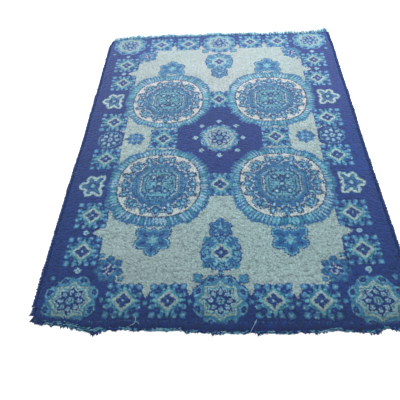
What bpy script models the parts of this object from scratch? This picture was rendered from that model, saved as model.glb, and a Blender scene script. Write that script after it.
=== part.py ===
# A flat pile rug, 1.7 m wide and 2.4 m long, lying on a floor.
# Its pile cloth is one lumpy slab with the worn, slightly wavy outline of the real cloth.
# An overcast edge runs along each long side, and a narrow strip with frayed locks closes each end.
# Metres, +Z up: X across the width, Y along the length, the floor at z = 0.

import math
import random
from collections import namedtuple

import bmesh
import bpy
from mathutils import Vector, noise

# Driving dimensions
CLOTH_WIDTH = 1.676
CLOTH_LENGTH = 2.366
PILE_HEIGHT = 0.0115
GAP = 0.0005

# The pile cloth: its cells, its lumps, and the narrow band where the pile falls off at the rim
CELLS_ACROSS = 26
CELLS_ALONG = 36
LUMP_HEIGHT = 0.0011
LUMP_SIZE = 0.11
RIM_BAND = 0.010
RIM_DROP = 0.0022

# The overcast side edges, each a low roll with a section of five corners
SIDE_WIDTH = 0.0115
SIDE_HEIGHT = 0.0095
SECTION_CORNERS = 5
STITCHES_PER_CELL = 2
STITCH_DIP = 0.0012

# The frayed ends: a strip of bared weave, and the locks drawn out of it
STRIP_WIDTH = 0.008
STRIP_HEIGHT = 0.0065
LOCK_PITCH = 0.016
LOCK_SHARE = 0.62
LOCK_SHORTEST = 0.008
LOCK_LONGEST = 0.017
LOOSE_LOCK = 0.027
LOOSE_LOCK_EVERY = 9
LOCK_LEAN = 0.0032
LOCK_SEED = 7

# A lock's rings. reach is a share of its length, and width a share of its root's.
LockRing = namedtuple("LockRing", "reach width height")
LOCK_RINGS = [
    LockRing(reach=0.5, width=0.80, height=0.0050),
    LockRing(reach=1.0, width=0.35, height=0.0024),
]

# The outline of the cloth. along is the place on that edge, and inset is how far the edge lies
# inside the cloth's full size there.
EdgePoint = namedtuple("EdgePoint", "along inset")
FRONT_END = [
    EdgePoint(-0.838, 0.046),
    EdgePoint(-0.795, 0.026),
    EdgePoint(-0.710, 0.024),
    EdgePoint(-0.620, 0.012),
    EdgePoint(-0.545, 0.000),
    EdgePoint(-0.480, 0.013),
    EdgePoint(-0.300, 0.010),
    EdgePoint(-0.160, 0.009),
    EdgePoint(-0.020, 0.000),
    EdgePoint(0.130, 0.005),
    EdgePoint(0.300, 0.003),
    EdgePoint(0.480, 0.008),
    EdgePoint(0.640, 0.002),
    EdgePoint(0.720, 0.010),
    EdgePoint(0.838, 0.018),
]
BACK_END = [
    EdgePoint(-0.838, 0.048),
    EdgePoint(-0.780, 0.023),
    EdgePoint(-0.690, 0.011),
    EdgePoint(-0.560, 0.012),
    EdgePoint(-0.420, 0.001),
    EdgePoint(-0.200, 0.012),
    EdgePoint(-0.050, 0.000),
    EdgePoint(0.140, 0.007),
    EdgePoint(0.260, 0.012),
    EdgePoint(0.330, 0.026),
    EdgePoint(0.450, 0.022),
    EdgePoint(0.560, 0.014),
    EdgePoint(0.700, 0.020),
    EdgePoint(0.838, 0.004),
]
LEFT_SIDE = [
    EdgePoint(-1.183, 0.000),
    EdgePoint(-0.700, 0.001),
    EdgePoint(-0.250, 0.003),
    EdgePoint(0.000, 0.008),
    EdgePoint(0.250, 0.004),
    EdgePoint(0.560, 0.006),
    EdgePoint(0.800, 0.003),
    EdgePoint(1.183, 0.000),
]
RIGHT_SIDE = [
    EdgePoint(-1.183, 0.000),
    EdgePoint(-0.760, 0.000),
    EdgePoint(-0.300, 0.005),
    EdgePoint(0.020, 0.006),
    EdgePoint(0.200, 0.002),
    EdgePoint(0.700, 0.004),
    EdgePoint(0.960, 0.000),
    EdgePoint(1.183, 0.005),
]

# Each finish: its base colour and roughness
Finish = namedtuple("Finish", "colour roughness")
FINISHES = {
    "pile": Finish(colour=(0.12, 0.30, 0.48, 1.0), roughness=0.95),
    "overcast_yarn": Finish(colour=(0.05, 0.07, 0.25, 1.0), roughness=0.90),
    "frayed_yarn": Finish(colour=(0.07, 0.18, 0.34, 1.0), roughness=0.95),
}


def clear_scene():
    for old in list(bpy.data.objects):
        bpy.data.objects.remove(old)


def new_collection(name):
    collection = bpy.data.collections.new(name)
    bpy.context.scene.collection.children.link(collection)
    return collection


def make_material(name):
    finish = FINISHES[name]
    material = bpy.data.materials.new(name)
    material.use_nodes = True
    shader = material.node_tree.nodes["Principled BSDF"]
    shader.inputs["Base Color"].default_value = finish.colour
    shader.inputs["Roughness"].default_value = finish.roughness
    shader.inputs["Metallic"].default_value = 0.0
    material.diffuse_color = finish.colour
    return material


def add_object(name, shape, material, collection):
    mesh = bpy.data.meshes.new(name)
    bmesh.ops.recalc_face_normals(shape, faces=shape.faces[:])
    shape.to_mesh(mesh)
    shape.free()
    mesh.materials.append(material)
    obj = bpy.data.objects.new(name, mesh)
    collection.objects.link(obj)
    return obj


def inset_at(edge, along):
    """The inset at a place on an edge, on the straight line between two of its points."""
    along = min(max(along, edge[0].along), edge[-1].along)
    for before, after in zip(edge, edge[1:]):
        if along <= after.along:
            break
    share = (along - before.along) / (after.along - before.along)
    return before.inset + share * (after.inset - before.inset)


def grid_lines(cells, full_size):
    """Lines from -1 to 1 across the cloth: even cells, and one narrow cell at each rim."""
    rim = 1.0 - 2.0 * RIM_BAND / full_size
    inner_lines = [rim * (2.0 * k / cells - 1.0) for k in range(cells + 1)]
    return [-1.0, *inner_lines, 1.0]


ACROSS = grid_lines(CELLS_ACROSS, CLOTH_WIDTH)
ALONG = grid_lines(CELLS_ALONG, CLOTH_LENGTH)


def on_cloth(u, v):
    """The place of a point of the cloth. u and v run from -1 to 1 across and along it."""
    side = RIGHT_SIDE if u > 0 else LEFT_SIDE
    end = BACK_END if v > 0 else FRONT_END
    half_width = CLOTH_WIDTH / 2 - inset_at(side, v * CLOTH_LENGTH / 2)
    half_length = CLOTH_LENGTH / 2 - inset_at(end, u * CLOTH_WIDTH / 2)
    return Vector((u * half_width, v * half_length, 0.0))


def build_pile(collection, material):
    """The pile cloth: a grid raised into lumps, walled in at the rim and closed underneath."""
    cloth = bmesh.new()
    columns = len(ACROSS) - 1
    rows = len(ALONG) - 1
    bmesh.ops.create_grid(cloth, x_segments=columns, y_segments=rows, size=1.0)
    for vertex in cloth.verts:
        column = round((vertex.co.x + 1.0) / 2.0 * columns)
        row = round((vertex.co.y + 1.0) / 2.0 * rows)
        vertex.co = on_cloth(ACROSS[column], ALONG[row])
        lump = LUMP_HEIGHT * noise.noise(vertex.co / LUMP_SIZE)
        drop = RIM_DROP if vertex.is_boundary else 0.0
        vertex.co.z = PILE_HEIGHT - LUMP_HEIGHT + lump - drop
    rim = [edge for edge in cloth.edges if edge.is_boundary]
    wall = bmesh.ops.extrude_edge_only(cloth, edges=rim)["geom"]
    for item in wall:
        if isinstance(item, bmesh.types.BMVert):
            item.co.z = 0.0
    foot = [edge for edge in cloth.edges if edge.is_boundary]
    bmesh.ops.contextual_create(cloth, geom=foot)
    return add_object("rug_pile", cloth, material, collection)


def side_places():
    """Places along a side edge: the cloth's grid lines, and the stitches between them."""
    places = [ALONG[0]]
    for before, after in zip(ALONG, ALONG[1:]):
        for k in range(1, STITCHES_PER_CELL + 1):
            places.append(before + (after - before) * k / STITCHES_PER_CELL)
    return places


def build_side_edge(name, side, collection, material):
    """An overcast edge: a low roll along the cloth's side, dipping at every other stitch."""
    roll = bmesh.new()
    rings = []
    for k, v in enumerate(side_places()):
        dip = STITCH_DIP * (k % 2)
        ring = []
        for corner in range(SECTION_CORNERS):
            turn = math.pi * corner / (SECTION_CORNERS - 1)
            outwards = GAP + (SIDE_WIDTH - dip) * (1.0 - math.cos(turn)) / 2.0
            height = (SIDE_HEIGHT - dip) * math.sin(turn)
            offset = Vector((side * outwards, 0.0, height))
            ring.append(roll.verts.new(on_cloth(side, v) + offset))
        rings.append(ring)
    for ring, next_ring in zip(rings, rings[1:]):
        for corner in range(SECTION_CORNERS):
            after = (corner + 1) % SECTION_CORNERS
            roll.faces.new((ring[corner], ring[after], next_ring[after], next_ring[corner]))
    roll.faces.new(rings[0])
    roll.faces.new(rings[-1])
    return add_object(name, roll, material, collection)


def end_line(end):
    """The corners of the cloth's edge at one end, and one more beyond each side edge."""
    line = [on_cloth(u, end) for u in ACROSS]
    past = Vector((GAP + SIDE_WIDTH, 0.0, 0.0))
    return [line[0] - past, *line, line[-1] + past]


def strip_places(line):
    """Places along a strip, each marked if a lock's root begins there."""
    places = [(line[0], False)]
    for before, after in zip(line, line[1:]):
        locks = max(1, round((after - before).length / LOCK_PITCH))
        for k in range(locks):
            low = (k + 0.5 - LOCK_SHARE / 2) / locks
            high = (k + 0.5 + LOCK_SHARE / 2) / locks
            places.append((before.lerp(after, low), True))
            places.append((before.lerp(after, high), False))
        places.append((after, False))
    return places


def draw_out_lock(strip, face, end, length, lean):
    """Draws one lock out of its root face. It lies level on the floor and narrows to its tip."""
    root = face.calc_center_median()
    half_root = (max(v.co.x for v in face.verts) - min(v.co.x for v in face.verts)) / 2.0
    for ring in LOCK_RINGS:
        middle = face.calc_center_median().x
        face = bmesh.ops.extrude_discrete_faces(strip, faces=[face])["faces"][0]
        for vertex in face.verts:
            hand = 1.0 if vertex.co.x > middle else -1.0
            vertex.co.x = root.x + hand * half_root * ring.width + lean * ring.reach
            vertex.co.y = root.y + end * length * ring.reach
            if vertex.co.z > 0.0:
                vertex.co.z = ring.height


def build_frayed_end(name, end, collection, material, chance):
    """One frayed end: a low strip along the cloth's edge, with locks drawn out of its far side."""
    strip = bmesh.new()
    section = [
        (GAP, 0.0),
        (GAP + STRIP_WIDTH, 0.0),
        (GAP + STRIP_WIDTH, STRIP_HEIGHT),
        (GAP, STRIP_HEIGHT),
    ]
    places = strip_places(end_line(end))
    rings = [
        [strip.verts.new(place + Vector((0.0, end * y, z))) for y, z in section]
        for place, _ in places
    ]
    roots = []
    for (_, begins_lock), ring, next_ring in zip(places, rings, rings[1:]):
        for corner in range(4):
            after = (corner + 1) % 4
            face = strip.faces.new((ring[corner], ring[after], next_ring[after], next_ring[corner]))
            if corner == 1 and begins_lock:
                roots.append(face)
    strip.faces.new(rings[0])
    strip.faces.new(rings[-1])
    for number, face in enumerate(roots, start=1):
        length = chance.uniform(LOCK_SHORTEST, LOCK_LONGEST)
        if number % LOOSE_LOCK_EVERY == 0:
            length = LOOSE_LOCK
        draw_out_lock(strip, face, end, length, chance.uniform(-LOCK_LEAN, LOCK_LEAN))
    return add_object(name, strip, material, collection)


def centre_on_floor(objects):
    """Moves the meshes so that the middle of the rug's box is at x = 0 and y = 0."""
    corners = [vertex.co for obj in objects for vertex in obj.data.vertices]
    middle_x = (min(c.x for c in corners) + max(c.x for c in corners)) / 2.0
    middle_y = (min(c.y for c in corners) + max(c.y for c in corners)) / 2.0
    for corner in corners:
        corner -= Vector((middle_x, middle_y, 0.0))


def main():
    clear_scene()
    collection = new_collection("turkish_rug")
    materials = {name: make_material(name) for name in FINISHES}
    chance = random.Random(LOCK_SEED)
    objects = [
        build_pile(collection, materials["pile"]),
        build_side_edge("side_edge_left", -1, collection, materials["overcast_yarn"]),
        build_side_edge("side_edge_right", 1, collection, materials["overcast_yarn"]),
        build_frayed_end("frayed_end_front", -1, collection, materials["frayed_yarn"], chance),
        build_frayed_end("frayed_end_back", 1, collection, materials["frayed_yarn"], chance),
    ]
    centre_on_floor(objects)


main()
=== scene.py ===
import math
from collections import namedtuple

import bpy
import numpy as np
from mathutils import Matrix, Vector


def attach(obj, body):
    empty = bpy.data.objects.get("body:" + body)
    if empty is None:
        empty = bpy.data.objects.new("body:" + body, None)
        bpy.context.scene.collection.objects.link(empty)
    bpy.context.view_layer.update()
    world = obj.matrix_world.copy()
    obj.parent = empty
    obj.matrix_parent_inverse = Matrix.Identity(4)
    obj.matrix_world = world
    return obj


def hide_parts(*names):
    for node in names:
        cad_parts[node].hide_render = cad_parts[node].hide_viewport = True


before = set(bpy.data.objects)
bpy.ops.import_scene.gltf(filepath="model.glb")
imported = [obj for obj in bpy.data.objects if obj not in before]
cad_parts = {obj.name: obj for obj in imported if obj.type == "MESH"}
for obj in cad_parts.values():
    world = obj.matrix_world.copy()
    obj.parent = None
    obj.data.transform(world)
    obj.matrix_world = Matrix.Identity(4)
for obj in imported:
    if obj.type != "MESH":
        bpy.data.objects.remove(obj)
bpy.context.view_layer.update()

# A worn pile rug on a pale floor. Its pattern is drawn from named motifs in one quarter and mirrored.

# Tones of the dyed wool: sRGB, 0 to 255
TONES = {
    "navy": (22, 58, 131),
    "ink": (28, 52, 100),
    "royal": (38, 88, 148),
    "cobalt": (40, 106, 165),
    "azure": (60, 132, 181),
    "teal": (50, 134, 163),
    "slate": (80, 138, 168),
    "steel": (88, 154, 185),
    "bright": (90, 156, 199),
    "aqua": (106, 177, 199),
    "sky": (143, 190, 212),
    "lavender": (160, 180, 210),
    "frost": (164, 200, 206),
    "cream": (158, 187, 190),
    "white": (186, 204, 206),
}
TONE_NAMES = list(TONES)

# All sizes of the pattern are in millimetres, and its angles are in degrees. Lobes is a disc with a
# lobed rim, Points one with a pointed rim, Ring a ring of petals and Leaf a single one. Square has
# cut corners, Bar has round ends. Most may have a rim of their own.
Lobes = namedtuple("Lobes", "radius count depth turn tone rim rim_tone", defaults=(0, None))
Points = namedtuple("Points", "radius count depth turn tone rim rim_tone", defaults=(0, None))
Square = namedtuple("Square", "half chamfer turn tone rim rim_tone", defaults=(0, None))
Ring = namedtuple("Ring", "ring count long wide turn tone rim rim_tone", defaults=(0, None))
Leaf = namedtuple("Leaf", "angle start end wide tone rim rim_tone", defaults=(0, None))
Disc = namedtuple("Disc", "x y radius tone")
Bar = namedtuple("Bar", "x0 y0 x1 y1 wide tone")
# How full a leaf and a petal stay towards their ends, and how a rim grows at a square's cut corners
LEAF_FULLNESS = 3.4
PETAL_FULLNESS = 2.0
CORNER_GROWTH = 1.4


def turned(x, y, degrees):
    """Coordinates along and across a direction."""
    turn = math.radians(degrees)
    c, s = math.cos(turn), math.sin(turn)
    return x * c + y * s, -x * s + y * c


def in_leaf(u, v, half, wide, fullness):
    """Where points along and across a leaf lie in it."""
    s = np.clip(abs(u / half), 0, 1)
    return abs(v) < wide / 2 * (1 - s ** fullness) - 1e-9


def inside(shape, x, y, grow):
    """Where the points lie in a shape that is larger by grow on all sides."""
    r, kind = np.hypot(x, y), type(shape)
    if kind is Disc:
        return np.hypot(x - shape.x, y - shape.y) < shape.radius + grow
    if kind is Bar:
        dx, dy = shape.x1 - shape.x0, shape.y1 - shape.y0
        t = np.clip(((x - shape.x0) * dx + (y - shape.y0) * dy) / (dx * dx + dy * dy), 0, 1)
        return np.hypot(x - shape.x0 - t * dx, y - shape.y0 - t * dy) < shape.wide / 2 + grow
    if kind is Leaf:
        u, v = turned(x, y, shape.angle)
        half = (shape.end - shape.start) / 2 + grow
        middle = (shape.start + shape.end) / 2
        return in_leaf(u - middle, v, half, shape.wide + 2 * grow, LEAF_FULLNESS)
    if kind is Square:
        u, v = np.abs(turned(x, y, shape.turn))
        cut = u + v - 2 * shape.half + shape.chamfer - grow * CORNER_GROWTH
        return (np.maximum(u, v) - grow < shape.half) & (cut < 0)
    angle = np.arctan2(y, x) - math.radians(shape.turn)
    if kind is Ring:
        step = 2 * math.pi / shape.count
        angle = (angle + step / 2) % step - step / 2
        u, v = r * np.cos(angle) - shape.ring, r * np.sin(angle)
        return in_leaf(u, v, shape.long / 2 + grow, shape.wide + 2 * grow, PETAL_FULLNESS)
    wave = abs(np.cos(shape.count * angle / 2))
    if kind is Points:
        wave = 1 - abs(np.sin(shape.count * angle / 2))
    return r < shape.radius * (1 - shape.depth * (1 - wave)) + grow


def number(tone):
    """The place of a tone in TONES."""
    return TONE_NAMES.index(tone)


def draw(tones, x, y, shapes):
    """Draws shapes in order over the tone numbers at local points x, y in millimetres."""
    for shape in shapes:
        rim = getattr(shape, "rim", 0)
        if rim:
            tones[inside(shape, x, y, rim)] = number(shape.rim_tone)
        tones[inside(shape, x, y, 0)] = number(shape.tone)


DIAMOND_CORE = [
    Square(24, 4, 45, "navy"),
    Ring(22, 4, 28, 25, 0, "navy"),
    Ring(19, 4, 16, 7, 0, "royal"),
    Ring(17, 4, 10, 5, 45, "azure"),
    Disc(0, 0, 6, "sky"),
]
SQUARE_ROSETTE = [
    Square(79, 20, 0, "navy"),
    Ring(78, 8, 26, 28, 22.5, "azure", 3, "navy"),
    Ring(83, 8, 10, 13, 22.5, "sky"),
    Ring(97, 4, 34, 31, 45, "azure", 3, "navy"),
    Ring(97, 4, 20, 18, 45, "bright"),
    Ring(98, 4, 9, 8, 45, "sky"),
    Ring(64, 8, 32, 15, 22.5, "azure"),
    Ring(72, 4, 22, 14, 0, "teal"),
    Lobes(61, 8, 0.15, 0, "teal", 3, "navy"),
    Ring(57, 8, 14, 15, 22.5, "aqua"),
    Ring(60, 4, 26, 16, 0, "aqua"),
    Ring(61, 4, 22, 27, 45, "navy"),
    Ring(66, 4, 9, 8, 45, "azure"),
    Ring(51, 8, 8, 8, 22.5, "navy"),
    Points(54, 4, 0.24, 0, "aqua"),
    Points(50, 4, 0.26, 0, "cream"),
    Ring(39, 4, 6, 10, 45, "azure"),
    *DIAMOND_CORE,
]
STAR_FLOWER = [
    Points(73, 8, 0.32, 0, "navy"),
    Ring(43, 8, 56, 33, 0, "navy"),
    Ring(43, 8, 27, 19, 0, "sky"),
    Ring(41, 8, 11, 7, 0, "azure"),
    Disc(0, 0, 23, "navy"),
    Disc(0, 0, 18, "aqua"),
    Disc(0, 0, 10, "navy"),
    Disc(0, 0, 5, "cream"),
]
CORNER_ROSETTE = [
    Lobes(128, 8, 0.13, 22.5, "azure", 6, "navy"),
    Ring(115, 8, 18, 62, 22.5, "bright"),
    Ring(110, 8, 28, 38, 22.5, "navy", 4, "aqua"),
    Ring(110, 8, 10, 12, 22.5, "cobalt"),
    Ring(122, 8, 22, 16, 0, "navy"),
    Ring(112, 16, 12, 9, 11.25, "aqua"),
    Points(107, 8, 0.19, 0, "teal"),
    Points(99, 8, 0.2, 0, "cream"),
    Points(88, 8, 0.23, 0, "teal"),
    Points(83, 8, 0.26, 0, "aqua"),
    Points(79, 8, 0.29, 0, "frost"),
    *STAR_FLOWER,
]
CENTRE_ROSETTE = [
    Points(125, 16, 0.17, 11.25, "azure", 3, "royal"),
    Ring(108, 8, 22, 32, 22.5, "sky"),
    Ring(107, 8, 15, 18, 22.5, "royal"),
    Ring(108, 8, 18, 11, 0, "royal"),
    Points(101, 8, 0.12, 0, "aqua"),
    Points(97, 16, 0.13, 0, "cream"),
    Points(86, 8, 0.17, 0, "azure"),
    Points(81, 8, 0.24, 0, "frost"),
    *STAR_FLOWER,
]
SMALL_LOZENGE = [Square(13, 3, 45, "sky"), Square(4, 0, 45, "azure")]
SMALL_DOT = [Lobes(13, 4, 0.3, 45, "azure", 3, "ink"), Disc(0, 0, 4, "aqua")]
SMALL_FLOWER = [
    Lobes(54, 8, 0.24, 0, "azure", 3, "ink"),
    Ring(38, 8, 26, 18, 0, "royal"),
    Ring(26, 4, 24, 8, 45, "lavender"),
    Ring(40, 4, 10, 8, 22.5, "teal"),
    Disc(0, 0, 9, "navy"),
    Disc(0, 0, 4, "sky"),
]
EIGHT_PETALS = [
    Lobes(76, 8, 0.12, 22.5, "slate", 2, "royal"),
    Lobes(70, 8, 0.12, 22.5, "navy"),
    Ring(43, 8, 44, 30, 0, "royal"),
    Ring(44, 8, 31, 20, 0, "sky"),
    Ring(64, 8, 9, 9, 22.5, "aqua"),
    Disc(0, 0, 20, "navy"),
    Disc(0, 0, 15, "sky"),
    Disc(0, 0, 6, "ink"),
]


def palmette(size, rim, rim_tone, edge, edge_wide, fill, vein, core):
    """A five-lobed flower whose tip points along +x. All of it is size times its drawn size."""
    outer = [
        Leaf(0, 10, 90, 64, edge),
        Leaf(70, 4, 92, 60, edge),
        Leaf(-70, 4, 92, 60, edge),
        Leaf(127, -10, 108, 60, edge),
        Leaf(-127, -10, 108, 60, edge),
        Leaf(180, 0, 72, 26, edge),
    ]
    shapes = []
    for grow, tone in ((rim, rim_tone), (0, edge), (-edge_wide, fill)):
        for leaf in outer:
            end, wide = leaf.end * size + grow, leaf.wide * size + 2 * grow
            shapes.append(Leaf(leaf.angle, leaf.start * size, end, wide, tone))
        shapes.append(Disc(0, 0, 60 * size + grow, tone))
    for leaf in outer[:5]:
        shapes.append(Leaf(leaf.angle, 26 * size, 66 * size, 10 * size, vein))
    shapes.append(Points(36 * size, 6, 0.5, 0, core))
    shapes.append(Disc(0, 0, 15 * size, "aqua"))
    shapes.append(Disc(0, 0, 6 * size, "cream"))
    return shapes


def four_dots(x, y, *layers):
    """A dot of layers (radius, tone) at x, y and its three mirror images."""
    signs = [(-1, -1), (-1, 1), (1, -1), (1, 1)]
    return [Disc(i * x, j * y, radius, tone) for radius, tone in layers for i, j in signs]


def four_bars(x0, y0, x1, y1, wide, tone):
    """A bar and its three mirror images."""
    return [Bar(i * x0, j * y0, i * x1, j * y1, wide, tone) for i in (-1, 1) for j in (-1, 1)]


INNER_CORNER_FLOWER = [
    Lobes(68, 7, 0.2, 10, "azure"),
    Ring(56, 7, 38, 42, 10, "royal"),
    Ring(60, 7, 15, 17, 10, "teal"),
    Ring(44, 7, 22, 20, -15, "azure"),
    Lobes(36, 5, 0.3, 30, "navy"),
    Bar(-26, 6, -14, 26, 7, "lavender"),
    Bar(-14, 26, -2, 22, 6, "white"),
    Bar(-6, -28, 4, -8, 8, "lavender"),
    Bar(6, -8, 24, -2, 7, "white"),
    Bar(-30, -14, -16, -8, 8, "sky"),
    Bar(6, 14, 22, 26, 8, "lavender"),
    Disc(0, 6, 6, "sky"),
]
PENDANT = [
    Ring(102, 4, 34, 38, 45, "teal", 2, "azure"),
    Ring(102, 4, 14, 16, 45, "royal"),
    Ring(84, 8, 28, 46, 22.5, "bright", 8, "navy"),
    Ring(84, 4, 24, 40, 0, "bright", 8, "navy"),
    Square(80, 44, 0, "cobalt"),
    Ring(76, 8, 22, 34, 22.5, "navy"),
    Ring(71, 8, 20, 26, 22.5, "aqua"),
    Ring(84, 8, 8, 16, 22.5, "azure"),
    Ring(72, 4, 20, 24, 0, "aqua", 5, "navy"),
    Ring(72, 4, 7, 8, 0, "navy"),
    Lobes(58, 8, 0.16, 22.5, "aqua", 2, "royal"),
    Ring(52, 8, 10, 12, 22.5, "frost"),
    Ring(54, 8, 8, 8, 0, "teal"),
    Points(49, 4, 0.26, 0, "cream"),
    Ring(42, 4, 6, 12, 45, "royal"),
    *DIAMOND_CORE,
]
BETWEEN_ROSETTE = [Square(80, 24, 0, "royal", 5, "ink"), *SQUARE_ROSETTE[1:]]
MEDALLION_FRAME = [
    Ring(176, 4, 12, 36, 11, "white", 4, "ink"),
    Ring(176, 4, 12, 36, -11, "white", 4, "ink"),
    Ring(168, 4, 12, 40, 33.5, "lavender", 4, "ink"),
    Ring(168, 4, 12, 40, -33.5, "lavender", 4, "ink"),
    Ring(171, 4, 44, 58, 0, "frost", 4, "ink"),
    Ring(177, 4, 46, 52, 0, "royal"),
    Ring(186, 4, 40, 28, 0, "azure", 3, "ink"),
    Ring(188, 4, 24, 12, 0, "aqua"),
    Ring(190, 4, 9, 6, 0, "white"),
    Ring(172, 4, 46, 60, 45, "white", 4, "ink"),
    Ring(179, 4, 48, 54, 45, "cobalt"),
    Ring(184, 4, 30, 16, 38.5, "aqua", 4, "ink"),
    Ring(184, 4, 30, 16, 51.5, "aqua", 4, "ink"),
    Ring(192, 4, 36, 18, 45, "azure", 4, "ink"),
    Ring(192, 4, 20, 8, 45, "sky"),
    Ring(192, 4, 44, 22, 20.5, "azure", 5, "ink"),
    Ring(192, 4, 44, 22, -20.5, "azure", 5, "ink"),
    Ring(196, 4, 28, 10, 20.5, "sky"),
    Ring(196, 4, 28, 10, -20.5, "sky"),
    Ring(160, 8, 26, 16, 22.5, "sky", 3, "ink"),
    Ring(150, 4, 12, 40, 0, "sky", 3, "royal"),
    Lobes(148, 16, 0.05, 0, "azure", 4, "ink"),
    Square(129, 61, 0, "cobalt", 3, "ink"),
    Square(122, 59, 0, "azure"),
    Square(116, 56, 0, "slate", 3, "ink"),
    Square(108, 53, 0, "royal"),
    *four_bars(99, 0, 99, 50, 6, "white"),
    *four_bars(99, 60, 74, 88, 5, "sky"),
    *four_dots(12, 98, (6, "aqua")),
    *four_dots(38, 98, (6, "sky")),
    *four_dots(62, 96, (5, "aqua")),
    Square(89, 42, 0, "steel", 4, "ink"),
    *four_bars(18, 28, 58, 78, 6, "aqua"),
    *four_bars(26, 20, 70, 70, 5, "ink"),
    *four_dots(62, 44, (9, "ink"), (5, "sky")),
    *four_dots(14, 62, (9, "ink"), (5, "sky")),
    *four_bars(60, 18, 60, 30, 5, "royal"),
    *four_bars(73, 0, 73, 34, 6, "ink"),
    *four_bars(0, 76, 40, 76, 5, "aqua"),
    *four_dots(35, 52, (21, "ink"), (15, "azure"), (6, "white")),
    Leaf(0, 18, 64, 30, "aqua", 4, "ink"),
    Leaf(180, 18, 64, 30, "aqua", 4, "ink"),
    *four_dots(48, 0, (7, "royal")),
    Leaf(90, 12, 54, 28, "royal", 4, "ink"),
    Leaf(-90, 12, 54, 28, "royal", 4, "ink"),
    *four_dots(0, 34, (5, "aqua")),
    Square(15, 0, 45, "ink"),
    Square(9, 0, 45, "sky"),
]
BUD_STUD = [Lobes(15, 4, 0.2, 0, "sky")]
DARK_DASH = [Bar(-12, 0, 4, 0, 10, "ink")]
END_STUD = [Square(20, 6, 0, "azure", 4, "ink"), Square(10, 3, 0, "teal"), Disc(0, 0, 4, "sky")]
WHITE_PALMETTE = palmette(0.86, 3, "slate", "frost", 13, "royal", "teal", "navy")
BLUE_PALMETTE = palmette(1.0, 6, "navy", "aqua", 6, "cobalt", "navy", "aqua")
BUD = palmette(0.62, 6, "navy", "azure", 6, "royal", "aqua", "azure")

# Where each motif lies in the quarter, and how far from there its drawing reaches. Later ones cover
# earlier ones.
Place = namedtuple("Place", "x y reach shapes quarter_turns", defaults=(0,))
ROSETTES_AT = ((340, 0), (672, 166), (674, 581), (679, 803), (442, 1065), (237, 1066))
DOTS_AT = ((340, 1078), (137, 1070), (790, 950), (543, 1064), (576, 830), (472, 958))
LOZENGES_AT = ((682, 692), (682, 912), (143, 0), (0, 150), (106, 108))
PLACES = [
    *[Place(x, y, 30, SMALL_DOT) for x, y in DOTS_AT],
    *[Place(x, y, 30, SMALL_LOZENGE) for x, y in LOZENGES_AT],
    Place(0, 930, 40, SMALL_DOT),
    Place(0, 669, 90, BUD, -1),
    Place(20, 724, 40, BUD_STUD),
    Place(0, 0, 170, CENTRE_ROSETTE),
    Place(0, 373, 130, BETWEEN_ROSETTE),
    *[Place(x, y, 130, SQUARE_ROSETTE) for x, y in ROSETTES_AT],
    Place(514, 0, 90, SMALL_FLOWER),
    Place(576, 0, 30, DARK_DASH),
    Place(671, 0, 110, EIGHT_PETALS),
    Place(706, 377, 130, WHITE_PALMETTE),
    Place(341, 743, 130, BLUE_PALMETTE, 1),
    Place(533, 907, 120, INNER_CORNER_FLOWER),
    Place(0, 814, 150, PENDANT),
    Place(105, 955, 40, END_STUD),
    Place(683, 1067, 160, CORNER_ROSETTE),
    Place(0, 1064, 160, CORNER_ROSETTE),
]

# The medallion: a ring of leaf strokes whose tones go by random share, a pale band, and a wreath. The
# wreath has tips at some angles from the nearest axis, and layers at some depths below its rim.
MEDALLION_AT = (339, 372)
MEDALLION_REACH = 340
STROKES = 84
RING_REACH = 275
LEAF_TONES = ((0, "azure"), (0.26, "aqua"), (0.58, "sky"), (0.84, "teal"))
TIP_TONES = ((0, "azure"), (0.35, "teal"), (0.7, "cobalt"))
BAND_OUTLINE = 239
BAND_EDGE = 233
WREATH_BASE = 195
# angle, height, spread
WREATH_TIPS = [(0, 30, 5), (10, 12, 4), (20, 30, 5), (38, 28, 4), (45, 34, 4)]
WREATH_LAYERS = ((0, "ink"), (8, "sky"), (13, "azure"), (20, "ink"), (27, "sky"), (33, "cobalt"))
WREATH_NOTCH = 30.0


def hashed(*numbers):
    """A fixed random number from 0 to 1 for each set of whole numbers."""
    total = np.zeros(np.shape(numbers[0]))
    for value, factor in zip(numbers, (12.9898, 78.233, 37.719)):
        total = total + value * factor
    return np.modf(abs(np.sin(total) * 43758.5453))[0]


def draw_leaf_ring(tones, r, angle, hand):
    """The ring of ragged leaf strokes, scalloped by sixes and wider on the medallion's diagonals."""
    sector = (angle / (2 * math.pi) % 1.0) * STROKES + 0.004 * (r - 250) * np.sin(3 * angle)
    stroke = np.floor(sector)
    side = abs(sector - stroke - 0.5)
    kind = hashed(stroke, hand)
    reach = RING_REACH + 12 * abs(np.cos(math.pi * sector / 6)) + 10 * hashed(stroke + 3, hand)
    reach += np.sin(2 * angle) ** 2 * (17 + 9 * np.sin(angle)) + 9 * np.clip(np.sin(angle), 0, 1)
    end = reach - 22 * side
    tones[r < end] = number("royal")
    leaf = (r < end) & (side < 0.25 + 0.15 * np.sin(math.pi * np.clip((r - 232) / 52, 0, 1)))
    for share, tone in LEAF_TONES:
        tones[leaf & (kind >= share)] = number(tone)
    tones[leaf & (side < 0.14) & (kind < LEAF_TONES[1][0])] = number("sky")
    leaf_tip = leaf & (r > end - 20)
    for share, tone in TIP_TONES:
        tones[leaf_tip & (kind >= share)] = number(tone)


def draw_wreath(tones, r, angle):
    """The toothed wreath of leaves, in layers that follow its rim."""
    from_axis = abs((np.degrees(angle) + 45) % 90 - 45)
    rim = np.full(r.shape, float(WREATH_BASE))
    for at, height, spread in WREATH_TIPS:
        rise = height * np.clip(1.5 - abs(from_axis - at) / spread, 0, 1)
        rim = np.maximum(rim, WREATH_BASE + rise)
    depth = rim - r
    for start, tone in WREATH_LAYERS:
        tones[depth > start] = number(tone)
    tones[(depth > 0) & (depth < 34) & (abs(from_axis - WREATH_NOTCH) < 1.1)] = number("ink")


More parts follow.
